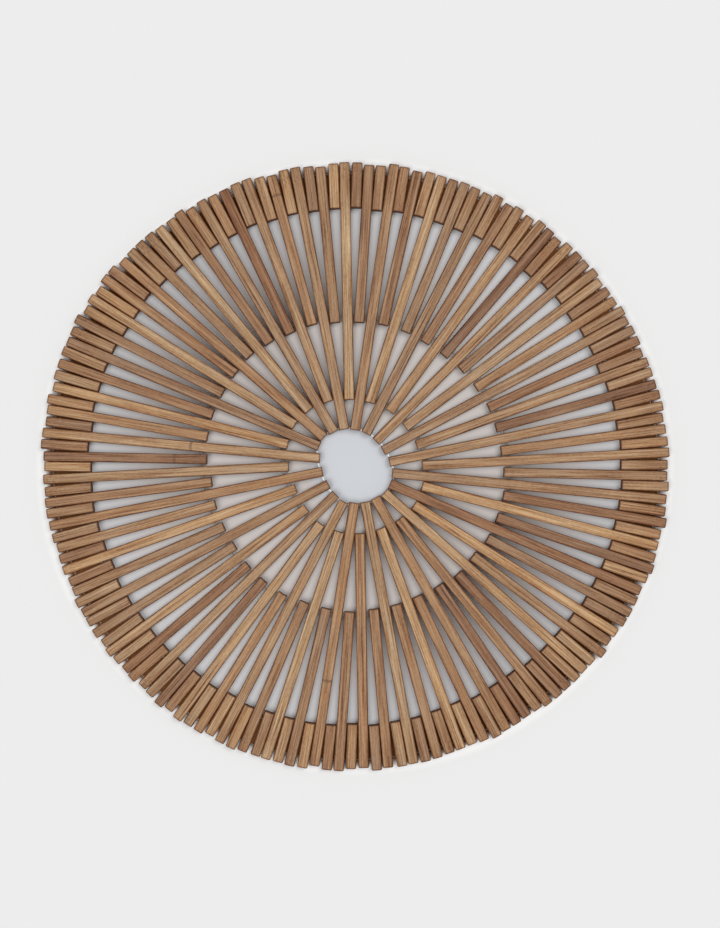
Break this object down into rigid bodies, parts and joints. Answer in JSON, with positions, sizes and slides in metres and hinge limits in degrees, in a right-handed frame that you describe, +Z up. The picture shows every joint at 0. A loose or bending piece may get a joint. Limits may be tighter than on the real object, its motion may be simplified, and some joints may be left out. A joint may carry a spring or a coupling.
{
  "type": "slatted wooden placemat",
  "caption": "Flat openwork table mat of straight wooden slats in four lengths, set like rays about an open centre and strung on clear lines; a plate or pot stands on it.",
  "frame": {"origin": "under the middle of the outline, on the surface that the mat lies on", "axes": "+Z up, out of the mat's top face; +X along its longer width; +Y along its depth"},
  "size_m": [0.3802, 0.3684, 0.005],
  "materials": {
    "wood": "satin, fine straight grain, tone differs from slat to slat",
    "line": "clear monofilament"
  },
  "bodies": {
    "root": {"longest_slat_01": "wood", "longest_slat_02": "wood", "longest_slat_03": "wood", "longest_slat_04": "wood", "longest_slat_05": "wood", "longest_slat_06": "wood", "longest_slat_07": "wood", "longest_slat_08": "wood", "longest_slat_09": "wood", "longest_slat_10": "wood", "longest_slat_11": "wood", "longest_slat_12": "wood", "longest_slat_13": "wood", "longest_slat_14": "wood", "longest_slat_15": "wood", "longest_slat_16": "wood", "longest_slat_17": "wood", "longest_slat_18": "wood", "longest_slat_19": "wood", "longest_slat_20": "wood", "long_slat_01": "wood", "long_slat_02": "wood", "long_slat_03": "wood", "long_slat_04": "wood", "long_slat_05": "wood", "long_slat_06": "wood", "long_slat_07": "wood", "long_slat_08": "wood", "long_slat_09": "wood", "long_slat_10": "wood", "long_slat_11": "wood", "long_slat_12": "wood", "long_slat_13": "wood", "long_slat_14": "wood", "long_slat_15": "wood", "long_slat_16": "wood", "long_slat_17": "wood", "long_slat_18": "wood", "long_slat_19": "wood", "long_slat_20": "wood", "outer_slats_01": "wood", "outer_slats_02": "wood", "outer_slats_03": "wood", "outer_slats_04": "wood", "outer_slats_05": "wood", "outer_slats_06": "wood", "outer_slats_07": "wood", "outer_slats_08": "wood", "outer_slats_09": "wood", "outer_slats_10": "wood", "line_long_ends": "line", "line_longest_ends": "line"}
  },
  "joints": []
}
